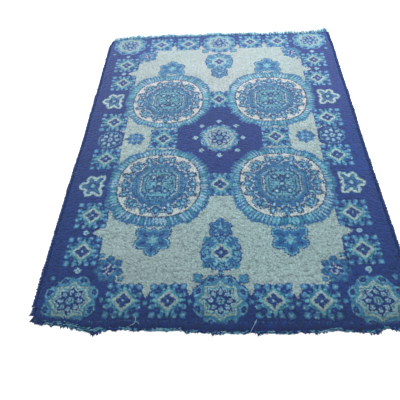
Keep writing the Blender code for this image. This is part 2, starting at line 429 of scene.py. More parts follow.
def draw_medallion(tones, x, y, hand):
    """A round medallion: a ring of leaf strokes, a pale band, a wreath of leaves, an octagonal frame."""
    r, angle = np.hypot(x, y), np.arctan2(y, x)
    draw_leaf_ring(tones, r, angle, hand)
    squarish = r * (1 + 0.028 * np.cos(4 * angle))
    tones[squarish < BAND_OUTLINE] = number("ink")
    tones[squarish < BAND_EDGE] = number("white")
    draw_wreath(tones, r, angle)
    draw(tones, x, y, MEDALLION_FRAME)


# The pale field: half its size, the diamond left out in its middle, and its cut corners
FIELD_HALF = (588, 989)
FIELD_DIAMOND = (340, 373)
FIELD_CORNER = 1462
# The field's teeth into the border: their middle line and tip, and half the width at a length from it
SIDE_TEETH = [(692, 652, 44, 64), (84, 628, 26, 40)]
END_TEETH = [(340, 1056, 34, 62), (137, 1042, 26, 50)]
# How far the drawing sways, and how far it ripples
SWAY = 3.0
RIPPLE = 1.6


def in_teeth(teeth, across, out, start):
    """Where the points lie in one of some teeth, farther out than start."""
    found = np.zeros(across.shape, bool)
    for at, tip, half, length in teeth:
        found |= (abs(across - at) < half * (tip - out) / length) & (out < tip)
    return found & (out > start)


def tone_numbers(x, y):
    """The tone number at each point of the rug, x and y in metres."""
    sway_x = SWAY * np.sin(4.1 * y + 1.0) * np.cos(2.3 * x) + RIPPLE * np.sin(17 * y + 6 * x)
    sway_y = SWAY * np.sin(5.3 * x + 0.4) * np.cos(1.9 * y + 0.7) + RIPPLE * np.sin(15 * x - 7 * y)
    px, py = abs(x * 1000 + sway_x), abs(y * 1000 + sway_y)
    tones = np.full(x.shape, number("navy"))
    field = (px < FIELD_HALF[0]) & (py < FIELD_HALF[1]) & (px + py < FIELD_CORNER)
    field &= px / FIELD_DIAMOND[0] + py / FIELD_DIAMOND[1] > 1
    field |= in_teeth(SIDE_TEETH, py, px, 500) | in_teeth(END_TEETH, px, py, 900)
    tones[field] = number("cream")
    for place in PLACES:
        near = np.flatnonzero((abs(px - place.x) < place.reach) & (abs(py - place.y) < place.reach))
        local_x, local_y = px.flat[near] - place.x, py.flat[near] - place.y
        for _ in range(place.quarter_turns % 4):
            local_x, local_y = local_y, -local_x
        part = tones.flat[near]
        draw(part, local_x, local_y, place.shapes)
        tones.flat[near] = part
    middle_x, middle_y = MEDALLION_AT
    near = np.flatnonzero(np.hypot(px - middle_x, py - middle_y) < MEDALLION_REACH)
    part = tones.flat[near]
    hand = np.sign(x.flat[near]) + 3 * np.sign(y.flat[near])
    draw_medallion(part, px.flat[near] - middle_x, py.flat[near] - middle_y, hand)
    tones.flat[near] = part
    return tones


# The pile, in metres: its knots' pitch, the span that its grid is laid out for, and its heights
PITCH = 0.0036
STRIPS = 5
PILE_SPAN = (1.68, 2.36)
BASE_HEIGHT = 0.009
RIM_HEIGHT = 0.0035
RIM_FALL = 0.01
LUMPS = 0.0007
TUFT = 0.0015
TUFT_LIMITS = (-1.6, 1.5)
PARTING_DEPTH = 0.0016
# How far knots drift from the grid, by chance as a share of the pitch and in clumps in metres
DRIFT = 0.3
CLUMP = 0.0012
# How far the drawing is scattered from knot to knot, and in waves
SCATTER = 0.0019
SCATTER_WAVES = 0.0016
# Half the cloth's size, and where the CAD outline's points belong to an end or to a side
HALF_WIDTH, HALF_LENGTH = 0.838, 1.183
END_ZONE, SIDE_ZONE = 1.05, 0.8
# The least height of yarn above the floor
FLOOR_GAP = 0.0003
NOISE_TABLE = 256
chance = np.random.default_rng(11)
uniform = chance.uniform


def linear(values):
    """The linear light of sRGB values from 0 to 1."""
    values = np.asarray(values, float)
    return np.where(values <= 0.04045, values / 12.92, ((values + 0.055) / 1.055) ** 2.4)


DYES = linear(np.array(list(TONES.values())) / 255)


def ramp(value, start, width):
    """0 up to start, and then rising to 1 over a width."""
    return np.clip((value - start) / width, 0, 1)


def noise(x, y, across, along, seed):
    """Soft noise from -1 to 1 with lumps of about across by along."""
    x, y = x / across, y / along
    table = np.random.default_rng(seed).uniform(-1, 1, (NOISE_TABLE, NOISE_TABLE))
    column, row = np.floor(x).astype(int), np.floor(y).astype(int)
    u, v = x - column, y - row
    u, v = u * u * (3 - 2 * u), v * v * (3 - 2 * v)

    def corner(right, up):
        return table[(row + up) % NOISE_TABLE, (column + right) % NOISE_TABLE]

    low = corner(0, 0) * (1 - u) + corner(1, 0) * u
    high = corner(0, 1) * (1 - u) + corner(1, 1) * u
    return low * (1 - v) + high * v


def edge_noise(s, lump, seed):
    """Soft noise along an edge."""
    return noise(s, 0 * s, lump, 1.0, seed)


def cad_points(node):
    """The corners of a CAD node, in metres."""
    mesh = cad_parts[node].data
    points = np.empty(len(mesh.vertices) * 3)
    mesh.vertices.foreach_get("co", points)
    return points.reshape(-1, 3)


def in_order(points, axis):
    """Points sorted along an axis."""
    return points[np.argsort(points[:, axis])]


foot = cad_points("rug_pile")
foot = np.unique(foot[foot[:, 2] < 1e-4].round(5), axis=0)
FRONT = in_order(foot[foot[:, 1] < -END_ZONE], 0)
BACK = in_order(foot[foot[:, 1] > END_ZONE], 0)
LEFT = in_order(foot[foot[:, 0] < -SIDE_ZONE], 1)
RIGHT = in_order(foot[foot[:, 0] > SIDE_ZONE], 1)


def on_cloth(u, v):
    """Plan points of the cloth inside the CAD outline. u and v run from -1 to 1."""
    nominal_x, nominal_y = u * HALF_WIDTH, v * HALF_LENGTH
    left = np.interp(nominal_y, LEFT[:, 1], LEFT[:, 0])
    right = np.interp(nominal_y, RIGHT[:, 1], RIGHT[:, 0])
    front = np.interp(nominal_x, FRONT[:, 0], FRONT[:, 1])
    back = np.interp(nominal_x, BACK[:, 0], BACK[:, 1])
    x = np.where(u < 0, -u * left, u * right)
    y = np.where(v < 0, -v * front, v * back)
    return x, y


def add_object(name, data):
    """Links a new object into the scene."""
    obj = bpy.data.objects.new(name, data)
    bpy.context.scene.collection.objects.link(obj)
    return obj


def add_mesh(name, points, quads, colours=None, material=None, uv=None):
    """A piece from points, quads (a row of four each), and a colour for each point."""
    mesh = bpy.data.meshes.new(name)
    mesh.vertices.add(len(points))
    mesh.vertices.foreach_set("co", np.asarray(points, np.float32).ravel())
    mesh.loops.add(quads.size)
    mesh.loops.foreach_set("vertex_index", quads.astype(np.int32).ravel())
    mesh.polygons.add(len(quads))
    mesh.polygons.foreach_set("loop_start", np.arange(len(quads), dtype=np.int32) * 4)
    mesh.update(calc_edges=True)
    mesh.shade_smooth()
    if colours is not None:
        layer = mesh.color_attributes.new("tone", "FLOAT_COLOR", "POINT")
        rgba = np.ones((len(points), 4), np.float32)
        rgba[:, :3] = colours
        layer.data.foreach_set("color", rgba.ravel())
    if uv is not None:
        layer = mesh.uv_layers.new(name="OFBake")
        layer.data.foreach_set("uv", uv[quads.ravel()].astype(np.float32).ravel())
    mesh.materials.append(material)
    obj = add_object(name, mesh)
    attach(obj, "root")
    return obj


def grid_quads(columns, rows):
    """Quads of a grid of points that is stored row by row."""
    i, j = np.meshgrid(np.arange(columns - 1), np.arange(rows - 1))
    first = (j * columns + i).ravel()
    return np.stack([first, first + 1, first + columns + 1, first + columns], 1)


def new_material(name):
    """A material with its nodes and its shader."""
    material = bpy.data.materials.new(name)
    material.use_nodes = True
    nodes = material.node_tree.nodes
    return material, nodes, nodes["Principled BSDF"]


def set_inputs(node, values):
    """Sets a node's inputs by their names."""
    for name, value in values.items():
        node.inputs[name].default_value = value


def wire(source, output, target, entry):
    """Links a node's output to another node's input. Either may be given by name or number."""
    source.id_data.links.new(source.outputs[output], target.inputs[entry])


def add_relief(nodes, shader, source, output, strength):
    """Bump from a height output, about a millimetre deep."""
    relief = nodes.new("ShaderNodeBump")
    set_inputs(relief, {"Strength": strength, "Distance": 0.001})
    wire(source, output, relief, "Height")
    wire(relief, "Normal", shader, "Normal")


def yarn_material(name, roughness, sheen, fibre_scale, bump):
    """Wool that takes its dye from the tone layer, with fibres finer than the mesh."""
    material, nodes, shader = new_material(name)
    set_inputs(shader, {"Roughness": roughness, "Specular IOR Level": 0.5, "Sheen Weight": sheen})
    set_inputs(shader, {"Sheen Roughness": 0.45, "Sheen Tint": (0.76, 1.0, 0.98, 1.0)})
    tone = nodes.new("ShaderNodeAttribute")
    tone.attribute_name = "tone"
    place = nodes.new("ShaderNodeTexCoord")
    fibres = nodes.new("ShaderNodeTexNoise")
    set_inputs(fibres, {"Scale": fibre_scale, "Detail": 3.0})
    wire(place, "Object", fibres, "Vector")
    shade = nodes.new("ShaderNodeMapRange")
    set_inputs(shade, {"From Min": 0.25, "From Max": 0.75, "To Min": 0.8, "To Max": 1.18})
    wire(fibres, "Fac", shade, "Value")
    dyed = nodes.new("ShaderNodeVectorMath")
    dyed.operation = "SCALE"
    wire(tone, "Color", dyed, "Vector")
    wire(shade, "Result", dyed, "Scale")
    wire(dyed, "Vector", shader, "Base Color")
    add_relief(nodes, shader, fibres, "Fac", bump)
    return material


def backing_material():
    """The plain woven underside: a fine over-and-under weave of undyed yarn."""
    material, nodes, shader = new_material("woven_backing")
    set_inputs(shader, {"Roughness": 0.9})
    place = nodes.new("ShaderNodeTexCoord")
    weave = nodes.new("ShaderNodeMath")
    weave.operation = "MULTIPLY"
    for entry, (axis, scale) in enumerate((("X", 160.0), ("Y", 200.0))):
        wave = nodes.new("ShaderNodeTexWave")
        wave.bands_direction = axis
        set_inputs(wave, {"Scale": scale, "Distortion": 0.6, "Detail": 1.0})
        wire(place, "Object", wave, "Vector")
        wire(wave, "Fac", weave, entry)
    colour = nodes.new("ShaderNodeValToRGB")
    colour.color_ramp.elements[0].color = (0.16, 0.2, 0.25, 1.0)
    colour.color_ramp.elements[1].color = (0.46, 0.47, 0.44, 1.0)
    wire(weave, "Value", colour, "Fac")
    wire(colour, "Color", shader, "Base Color")
    add_relief(nodes, shader, weave, "Value", 0.6)
    return material


PILE_WOOL = yarn_material("pile_wool", roughness=0.92, sheen=1.0, fibre_scale=420.0, bump=0.5)
EDGE_WOOL = yarn_material("edge_wool", roughness=0.9, sheen=0.25, fibre_scale=520.0, bump=0.6)
BACKING = backing_material()


def build_backing():
    """The cloth under the pile, a closed sheet with a flat woven underside."""
    columns, rows, reach = 61, 85, 0.998
    u, v = np.meshgrid(np.linspace(-reach, reach, columns), np.linspace(-reach, reach, rows))
    x, y = on_cloth(u.ravel(), v.ravel())
    top = 0.003 + 0.0003 * noise(x, y, 0.1, 0.1, 5)
    count = len(x)
    underside = np.full(count, 0.0004)
    points = np.concatenate([np.stack([x, y, top], 1), np.stack([x, y, underside], 1)])
    quads = grid_quads(columns, rows)
    rim = np.concatenate(
        [
            np.arange(columns - 1),
            np.arange(rows - 1) * columns + columns - 1,
            np.arange(count - 1, count - columns, -1),
            np.arange(rows - 1, 0, -1) * columns,
        ]
    )
    after = np.roll(rim, -1)
    wall = np.stack([rim, rim + count, after + count, after], 1)
    quads = np.concatenate([quads, quads[:, ::-1] + count, wall])
    return add_mesh("backing", points, quads, material=BACKING)


def pile_form():
    """The pile's points, row by row, with the lift of each tuft and the depth of its parting."""
    columns = STRIPS * round(PILE_SPAN[0] / PITCH / STRIPS) + 1
    rows = round(PILE_SPAN[1] / PITCH) + 1
    i, j = np.meshgrid(np.arange(columns), np.arange(rows))
    u, v = 2 * i / (columns - 1) - 1, 2 * j / (rows - 1) - 1
    x, y = on_cloth(u, v)
    inner = (abs(u) < 1) & (abs(v) < 1)
    drift_x = uniform(-DRIFT, DRIFT, x.shape) * PITCH
    drift_y = uniform(-DRIFT, DRIFT, x.shape) * PITCH
    clump_x = CLUMP * noise(x, y, 0.013, 0.01, 21)
    clump_y = CLUMP * noise(x, y, 0.013, 0.01, 22)
    x = x + np.where(inner, drift_x + clump_x, 0)
    y = y + np.where(inner, drift_y + clump_y, 0)
    parting = ramp(noise(x, y, 0.01, 0.005, 31), 0.28, 0.4)
    parting += 0.6 * ramp(noise(x, y, 0.019, 0.0065, 32), 0.4, 0.35)
    parting = np.minimum(parting, 1.0)
    lumps = LUMPS * noise(x, y, 0.1, 0.1, 41)
    lift = np.where((i + j) % 2, 1.0, -1.0) + 0.45 * chance.normal(size=x.shape)
    lift = np.clip(lift, *TUFT_LIMITS)
    from_rim = np.minimum((1 - abs(u)) * HALF_WIDTH, (1 - abs(v)) * HALF_LENGTH)
    fall = np.clip(1 - from_rim / RIM_FALL, 0, 1)
    z = BASE_HEIGHT + lumps + TUFT * lift - PARTING_DEPTH * parting
    z = z * (1 - fall ** 2) + RIM_HEIGHT * fall ** 2
    return x, y, z, lift, parting


def knot_dyes(x, y):
    """The dye of each tuft. It is looked up a little beside the tuft, as real knots are out of line."""
    waves_x, waves_y = [SCATTER_WAVES * noise(x, y, 0.009, 0.009, seed) for seed in (51, 52)]
    sample_x = x + SCATTER * chance.normal(size=x.shape) + waves_x
    sample_y = y + SCATTER * chance.normal(size=x.shape) + waves_y
    return DYES[tone_numbers(sample_x, sample_y)]


def tuft_tone_and_painted_shade(x, y, lift, parting):
    """How light each tuft is: painted shade by its lift and its parting, a fine mottle, and its own tone by
    chance and in rows and patches of the wool.
    """
    # towards the back end the tufts' painted shade and their random tone grow weaker
    tuft_contrast = 1.0 - 0.45 * ramp(y, -0.1, 1.1)
    # lower tufts get painted shade and higher ones painted light
    light = 0.93 + tuft_contrast * (0.28 * lift + 0.17 * chance.normal(size=x.shape))
    light += 0.07 * noise(x, y, 0.006, 0.005, 63)
    # painted shade in the partings between the tufts
    light *= 1.0 - 0.42 * tuft_contrast * parting
    light *= 1.0 + 0.05 * noise(x, y, 0.5, 0.05, 61) + 0.05 * noise(x, y, 0.2, 0.2, 62)
    return light


def paint_back_sheen(colours, x, y):
    """Paints sheen into the dyes towards the back end, the more so in patches, and gives each one's
    paleness.
    """
    sheen_share = ramp(y, -0.95, 1.9) + 0.25 * noise(x, y, 0.35, 0.25, 64)
    pale = ramp(colours[..., 1], 0.25, 0.15)
    middle = ramp(colours[..., 1], 0.07, 0.06) * (1 - pale)
    # painted sheen: pale dyes turn redder and greyer, darker dyes get a whitish veil
    colours[..., 0] *= 1.0 + 0.22 * sheen_share * pale
    colours[..., 0] += sheen_share * (0.016 * (1 - pale) + 0.03 * middle)
    colours[..., 1] += sheen_share * (0.045 * middle - 0.01 * pale)
    colours[..., 2] -= 0.13 * sheen_share * pale * (colours[..., 2] - colours[..., 0])
    return pale


def painted_light_regions(light, x, y, pale):
    """Paints shade on the front end and the middle, painted light on the right side, painted sheen on the
    back end and a painted highlight along a crease.
    """
    # painted shade at the front end
    light *= 1.0 - 0.26 * ramp(-y, 1.05, 0.09)
    # painted light on the right side
    light *= 1.0 + 0.15 * ramp(x, 0.6, 0.2) * ramp(y, -0.9, 0.3)
    # painted shade in the middle
    light *= 1.0 - 0.08 * np.exp(-((x / 0.35) ** 2) - (y / 0.28) ** 2)
    # painted sheen at the back end, stronger on the darker dyes
    light *= 1.0 + ramp(y, 0.75, 0.3) * (0.16 - 0.11 * pale)
    # the crease is a painted highlight, a short pale line across the right border where the pile has been
    # folded
    off_crease = y + 0.28 - 0.04 * (x - 0.73)
    crease = np.exp(-((off_crease / 0.003) ** 2)) * ((x > 0.62) & (x < 0.845))
    light *= 1.0 + 0.9 * crease


def build_pile():
    """The pile in lengthwise strips that share their border points."""
    x, y, z, lift, parting = pile_form()
    colours = knot_dyes(x, y)
    light = tuft_tone_and_painted_shade(x, y, lift, parting)
    painted_light_regions(light, x, y, paint_back_sheen(colours, x, y))
    # the dyes take on the painted shade, painted light and painted sheen
    colours = colours * np.clip(light, 0.35, 1.7)[..., None]
    rows, columns = x.shape
    per_strip = (columns - 1) // STRIPS
    across, along = np.meshgrid(np.linspace(0.01, 0.99, per_strip + 1), np.linspace(0.005, 0.995, rows))
    uv = np.stack([across.ravel(), along.ravel()], 1)
    quads = grid_quads(per_strip + 1, rows)
    strips = []
    for strip in range(STRIPS):
        part = slice(strip * per_strip, (strip + 1) * per_strip + 1)
        points = np.stack([x[:, part].ravel(), y[:, part].ravel(), z[:, part].ravel()], 1)
        dyes = colours[:, part].reshape(-1, 3)
        strips.append(add_mesh(f"pile_{strip + 1}", points, quads, dyes, PILE_WOOL, uv=uv))
    return strips


# A lock's rings from root to tip: place along it and share of its thickness
LOCK_RINGS = ((0.0, 1.0), (0.4, 1.0), (0.78, 0.75), (1.0, 0.28))
LOCK_SIDES = 4


def tube_quads(rings, sides):
    """Quads of a tube of rings, closed at both ends."""
    quads = []
    for low in range(0, (rings - 1) * sides, sides):
        for step in range(sides):
            after = (step + 1) % sides
            quads.append([low + step, low + after, low + sides + after, low + sides + step])
    last = (rings - 1) * sides
    for step in range(1, sides - 1, 2):
        quads.append([step + 2, step + 1, step, 0])
    for step in range(1, sides - 1, 2):
        quads.append([last, last + step, last + step + 1, last + step + 2])
    return np.array(quads)


def tubes(points, sides, colours):
    """Points, quads and colours of tubes. points has a row of corners, ring by ring, for each tube."""
    points[..., 2] = np.maximum(points[..., 2], FLOOR_GAP)
    count, corners = points.shape[:2]
    quads = tube_quads(corners // sides, sides)[None] + np.arange(count)[:, None, None] * corners
    return points.reshape(-1, 3), quads.reshape(-1, 4), np.repeat(colours, corners, axis=0)


def across_and_up(along):
    """Unit directions across each line, level with the floor, and up from it."""
    across = np.cross(along, (0, 0, 1.0))
    across /= np.linalg.norm(across, axis=1, keepdims=True)
    return across, np.cross(across, along)


def lock_arrays(roots, tips, radius, arch, colours):
    """Points, quads and colours of tapering locks. arch lifts each lock's middle."""
    along = tips - roots
    across, up = across_and_up(along)
    up /= np.linalg.norm(up, axis=1, keepdims=True)
    corners = []
    for share, thick in LOCK_RINGS:
        middle = roots + along * share
        middle[:, 2] += arch * 4 * share * (1 - share)
        for step in range(LOCK_SIDES):
            turn = math.pi * (step / 2 + 0.25)
            side = math.cos(turn) * across + math.sin(turn) * up
            corners.append(middle + side * (radius * thick)[:, None])
    return tubes(np.stack(corners, 1), LOCK_SIDES, colours)


def joined(parts):
    """Several (points, quads, colours) as one."""
    points, quads, colours = zip(*parts)
    starts = np.cumsum([0] + [len(part) for part in points])
    quads = [part + start for part, start in zip(quads, starts)]
    return np.concatenate(points), np.concatenate(quads), np.concatenate(colours)


def mixed_tones(count, shares):
    """Colours picked by their shares, each a little lighter or darker."""
    names = list(shares)
    weights = np.array([shares[name] for name in names], float)
    picked = chance.choice(len(names), count, p=weights / weights.sum())
    colours = DYES[[number(name) for name in names]][picked]
    return colours * uniform(0.75, 1.25, (count, 1))


# Rows of locks on an edge, in metres. inset is how far inside the cloth's edge the roots sit, rise and
# drop are the heights of root and tip, short and long the least and most reach, thick the radius,
# arch the lift of the middle, and gather how much the tips draw together in clumps.
LockRow = namedtuple("LockRow", "pitch inset rise drop short long thick arch gather tones")
PALE_MIX = {"royal": 3, "aqua": 2, "sky": 3, "frost": 3}
FADED_MIX = {"navy": 6, "aqua": 2, "slate": 2}
HEM_MIX = {"ink": 6, "navy": 5, "teal": 1}
TOP_MIX = {"navy": 8, "ink": 3, "cobalt": 1}
FRAYED_MIX = {"navy": 7, "ink": 4, "teal": 1}
UNDER_MIX = {"navy": 3, "sky": 4, "slate": 2}
FRONT_ROWS = [
    LockRow(0.004, 0.014, 0.0092, 0.008, 0.008, 0.014, 0.002, 0.001, 0.2, TOP_MIX),
    LockRow(0.0034, -0.012, 0.0072, 0.005, 0.008, 0.015, 0.0026, 0.001, 0.5, FRAYED_MIX),
    LockRow(0.0032, -0.016, 0.0045, 0.003, 0.009, 0.019, 0.0028, 0.001, 0.7, HEM_MIX),
    LockRow(0.0036, -0.016, 0.0025, 0.0016, 0.01, 0.022, 0.0028, 0.000, 0.8, {"ink": 6, "navy": 4}),
]
BACK_ROWS = [
    LockRow(0.004, 0.012, 0.009, 0.012, 0.008, 0.016, 0.002, 0.001, 0.2, FADED_MIX),
    LockRow(0.0042, 0.004, 0.0085, 0.018, 0.016, 0.044, 0.0025, 0.002, 0.7, PALE_MIX),
    LockRow(0.004, -0.004, 0.008, 0.017, 0.022, 0.054, 0.0025, 0.002, 0.7, PALE_MIX),
    LockRow(0.004, -0.004, 0.003, 0.004, 0.016, 0.044, 0.0026, 0.001, 0.7, UNDER_MIX),
]
SIDE_ROWS = [
    LockRow(0.0046, 0.007, 0.008, 0.0092, 0.006, 0.011, 0.0019, 0.002, 0.3, {"navy": 10, "royal": 1}),
    LockRow(0.0038, 0.001, 0.0066, 0.0056, 0.012, 0.021, 0.0022, 0.002, 0.9, {"navy": 8, "ink": 4}),
    LockRow(0.0038, -0.001, 0.004, 0.0024, 0.012, 0.023, 0.0024, 0.001, 1.0, {"navy": 6, "ink": 6}),
]
# Longer tufts of an edge: where along it, how much longer, and how wide
LONG_TUFTS = {
    "left": [(-1.16, 0.024, 0.05)],
    "right": [],
    "front": [
        (-0.548, 0.012, 0.026),
        (-0.524, 0.01, 0.008),
        (-0.036, 0.008, 0.014),
        (0.63, 0.012, 0.008),
        (0.155, 0.012, 0.006),
        (0.652, 0.016, 0.012),
    ],
    "back": [(-0.06, 0.01, 0.04), (0.82, 0.014, 0.03)],
}
# How far the matted hem at the front end stands out from the pile, in metres: (x, reach)
HEM_REACH = (
    (-0.87, 0.04), (-0.83, 0.038), (-0.8, 0.027), (-0.76, 0.024), (-0.7, 0.025), (-0.62, 0.024),
    (-0.57, 0.027), (-0.545, 0.036), (-0.52, 0.027), (-0.4, 0.033), (-0.25, 0.027), (-0.1, 0.028),
    (0.01, 0.035), (0.1, 0.031), (0.21, 0.038), (0.28, 0.029), (0.42, 0.03), (0.47, 0.02),
    (0.6, 0.025), (0.7, 0.02), (0.8, 0.028), (0.87, 0.04),
)
# The hem's section from the pile over its rim to the floor side: share of the reach, height, and light, a
# painted shade that is darkest over the rim and underneath
HEM_SECTION = (
    (-0.45, 0.008, 0.75), (-0.05, 0.01, 0.72), (0.4, 0.0094, 0.62), (0.7, 0.0078, 0.52),
    (0.92, 0.005, 0.4), (1.0, 0.0026, 0.32), (0.92, 0.0008, 0.32), (0.4, 0.0005, 0.32),
    (-0.25, 0.0005, 0.32),
)
HEM_CAPS = ((0, 8, 7, 1), (1, 7, 6, 2), (2, 6, 5, 4))
HEM_COLUMNS = 440
# Beyond this place, and this far to the left, the front end lies open
OPEN_PLACE = -0.62
OPEN_LEFT = 0.58
ENDS = ("front", "back")
EDGE_LENGTHS = {"front": 1.7, "back": 1.7, "left": 2.34, "right": 2.34}
HIGHEST_TIP = 0.019


def corner_spread(x, start, width):
    """-1 or 1 beyond the left and right corner, and 0 between them."""
    return np.sign(x) * ramp(abs(x), start, width)


def edge_frame(edge, places):
    """Points on an edge of the cloth and the direction outwards there. places run from -1 to 1."""
    sign = -1.0 if edge in ("front", "left") else 1.0
    if edge in ENDS:
        x, y = on_cloth(places, np.full_like(places, sign))
        outwards = np.array([0.0, sign, 0.0])
    else:
        x, y = on_cloth(np.full_like(places, sign), places)
        outwards = np.array([sign, 0.0, 0.0])
    return np.stack([x, y, 0 * x], 1), outwards


def hem_reach(x):
    """Reach of the matted hem at the front end, with its waves."""
    reach = np.interp(x, [place for place, _ in HEM_REACH], [reach for _, reach in HEM_REACH])
    waves = 0.005 * edge_noise(x, 0.07, 91) + 0.0036 * edge_noise(x, 0.02, 92)
    waves += 0.0026 * edge_noise(x, 0.008, 94)
    saw = 2 * ((x / 0.046) % 1.0) - 1
    waves += 0.006 * ramp(-x, OPEN_LEFT, 0.03) * saw
    return reach + waves


def hem_arrays():
    """The matted hem of dark yarn along the front end, darkened more by painted shade, a closed strip."""
    on_edge, outwards = edge_frame("front", np.linspace(-1, 1, HEM_COLUMNS))
    reach = hem_reach(on_edge[:, 0])
    lines = []
    colours = []
    for share, height, light in HEM_SECTION:
        line = on_edge + outwards * (share * reach)[:, None]
        line[:, 0] += 0.016 * share * corner_spread(line[:, 0], 0.8, 0.035)
        line[:, 1] += 0.0008 * chance.normal(size=HEM_COLUMNS)
        line[:, 2] = height * (1 + 0.26 * noise(line[:, 0], line[:, 1], 0.009, 0.009, 93))
        lines.append(line)
        # each line of the hem is darkened by its painted shade
        colours.append(light * mixed_tones(HEM_COLUMNS, {"navy": 7, "ink": 4}))
    sides = len(HEM_SECTION)
    first = np.arange(HEM_COLUMNS - 1) * sides
    quads = []
    for side in range(sides):
        after = (side + 1) % sides
        quads.append(np.stack([first + side, first + after, first + sides + after, first + sides + side], 1))
    caps = np.array(HEM_CAPS)
    quads += [caps, caps[:, ::-1] + (HEM_COLUMNS - 1) * sides]
    points = np.stack(lines, 1)
    return points.reshape(-1, 3), np.concatenate(quads), np.stack(colours, 1).reshape(-1, 3)


def row_of_locks(edge, row, clump):
    """One row of locks of an edge. clump is the spacing of the clumps that their tips gather in."""
    along = np.array([1.0, 0.0, 0.0] if edge in ENDS else [0.0, 1.0, 0.0])
    count = int(EDGE_LENGTHS[edge] / row.pitch)
    places = np.linspace(-1, 1, count) + uniform(-0.4, 0.4, count) * 2 / count
    on_edge, outwards = edge_frame(edge, np.clip(places, -1, 1))
    s = on_edge @ along
    clump_number = np.floor(s / clump + 0.3 * edge_noise(s, 0.05, 71))
    clump_middle = (clump_number + 0.5) * clump
    swell = 0.5 + 0.5 * edge_noise(s, 0.045, 72)
    swell = 0.6 * swell + 0.4 * hashed(clump_number, np.full(count, 3.0))
    reach = (row.short + (row.long - row.short) * swell ** 1.4) * uniform(0.8, 1.08, count)
    for at, extra, wide in LONG_TUFTS[edge]:
        reach += extra * np.exp(-(((s - at) / wide) ** 2)) * uniform(0.6, 1.0, count)
    inset = row.inset + uniform(-0.003, 0.003, count)
    if edge == "front" and row.inset < 0:
        # these rows grow from the rim of the hem
        inset = 0.011 + uniform(-0.002, 0.002, count) - hem_reach(s)
    roots = on_edge - outwards * inset[:, None]
    if edge == "front":
        roots[:, 0] += 0.01 * corner_spread(s, 0.8, 0.035)
    roots[:, 2] = row.rise * uniform(0.8, 1.1, count)
    shift = row.gather * (clump_middle - s) + chance.normal(0, 0.004, count)
    if edge == "front":
        shift += 0.005 * corner_spread(s, 0.815, 0.02)
    tips = roots + outwards * reach[:, None] + along * shift[:, None]
    tips[:, 2] = np.minimum(row.drop * uniform(0.6, 1.3, count), HIGHEST_TIP)
    radius = row.thick * uniform(0.75, 1.2, count)
    arch = row.arch * uniform(0.2, 1.2, count)
    return lock_arrays(roots, tips, radius, arch, mixed_tones(count, row.tones))


def weft_strands(count, tones):
    """Short ends of the loosened cross threads along the front end, denser where it lies open."""
    places = uniform(-0.94, 1, 2 * count)
    dense = edge_noise(places, 0.07, 95) + 0.8 * (places < OPEN_PLACE)
    places = places[np.argsort(-dense - uniform(0, 1.6, 2 * count))][:count]
    on_edge, outwards = edge_frame("front", places)
    reach = hem_reach(on_edge[:, 0])
    inward = np.where(places < OPEN_PLACE, 0.02, 0.009) * chance.random(count) - 0.003
    length = uniform(0.005, 0.015, count)
    middles = on_edge + outwards * (reach - inward)[:, None]
    middles[:, 2] = np.interp(inward, [-0.003, 0.001, 0.004, 0.01], [0.004, 0.0062, 0.009, 0.011])
    turn = chance.normal(0, 0.35, count)
    half = np.stack([np.cos(turn), np.sin(turn), chance.normal(0, 0.1, count)], 1) * length[:, None] / 2
    thick = uniform(0.0011, 0.0019, count)
    return lock_arrays(middles - half, middles + half, thick, 0.0012, mixed_tones(count, tones))


def edge_teeth(edge):
    """Thick twists of dark yarn that stand out between the stitches of a side."""
    pitch = 0.0155 if edge == "left" else 0.012
    count = int(EDGE_LENGTHS[edge] / pitch)
    places = np.linspace(-0.995, 0.995, count) + uniform(-0.25, 0.25, count) * 2 / count
    on_edge, outwards = edge_frame(edge, places)
    near = np.interp(on_edge[:, 1], [-1.17, -0.3, 0.4], [1.0, 0.6, 0.35])
    roots = on_edge + outwards * 0.004
    roots[:, 2] = 0.0062
    out = 0.0145 + 0.0055 * near * uniform(0.2, 1.0, count)
    tips = on_edge + outwards * out[:, None]
    tips[:, 1] -= uniform(0.001, 0.007, count)
    tips[:, 2] = uniform(0.003, 0.006, count)
    radius = uniform(0.0036, 0.0052, count)
    return lock_arrays(roots, tips, radius, 0.001, mixed_tones(count, {"navy": 6, "ink": 6}))


# The overcast stitches: their pitch, rings and sides, the height of their feet, and half their size
STITCH_PITCH = 0.0052
STITCH_RINGS, STITCH_SIDES = 7, 4
STITCH_FOOT = 0.0016
STITCH_THICK, STITCH_WIDE = 0.0013, 0.003


def whip_stitches(edge):
    """The overcast yarn: slanted loops that arch out over the side of the cloth."""
    count = int(EDGE_LENGTHS[edge] / STITCH_PITCH)
    places = np.linspace(-0.998, 0.998, count)
    on_edge, outwards = edge_frame(edge, places)
    height = 0.008 + 0.001 * edge_noise(on_edge[:, 1], 0.03, 81)
    reach = 0.0125 + 0.0016 * edge_noise(on_edge[:, 1], 0.013, 82)
    corners = []
    for ring in range(STITCH_RINGS):
        turn = math.pi * (0.02 + 0.96 * ring / (STITCH_RINGS - 1))
        outer = (1 - math.cos(turn)) / 2
        middle = on_edge + outwards * (0.0008 + reach * outer)[:, None]
        middle[:, 2] = STITCH_FOOT + (height - STITCH_FOOT) * math.sin(turn)
        middle[:, 1] += STITCH_PITCH * 0.7 * (ring / (STITCH_RINGS - 1) - 0.5)
        normal = outwards * -math.cos(turn) + np.array([0, 0, math.sin(turn)])
        for side in range(STITCH_SIDES):
            around = 2 * math.pi * side / STITCH_SIDES
            offset = normal * math.cos(around) * STITCH_THICK
            offset = offset + np.array([0, 1.0, 0]) * math.sin(around) * STITCH_WIDE
            corners.append(middle + offset)
    colours = mixed_tones(count, {"navy": 8, "ink": 3, "royal": 1})
    return tubes(np.stack(corners, 1), STITCH_SIDES, colours)


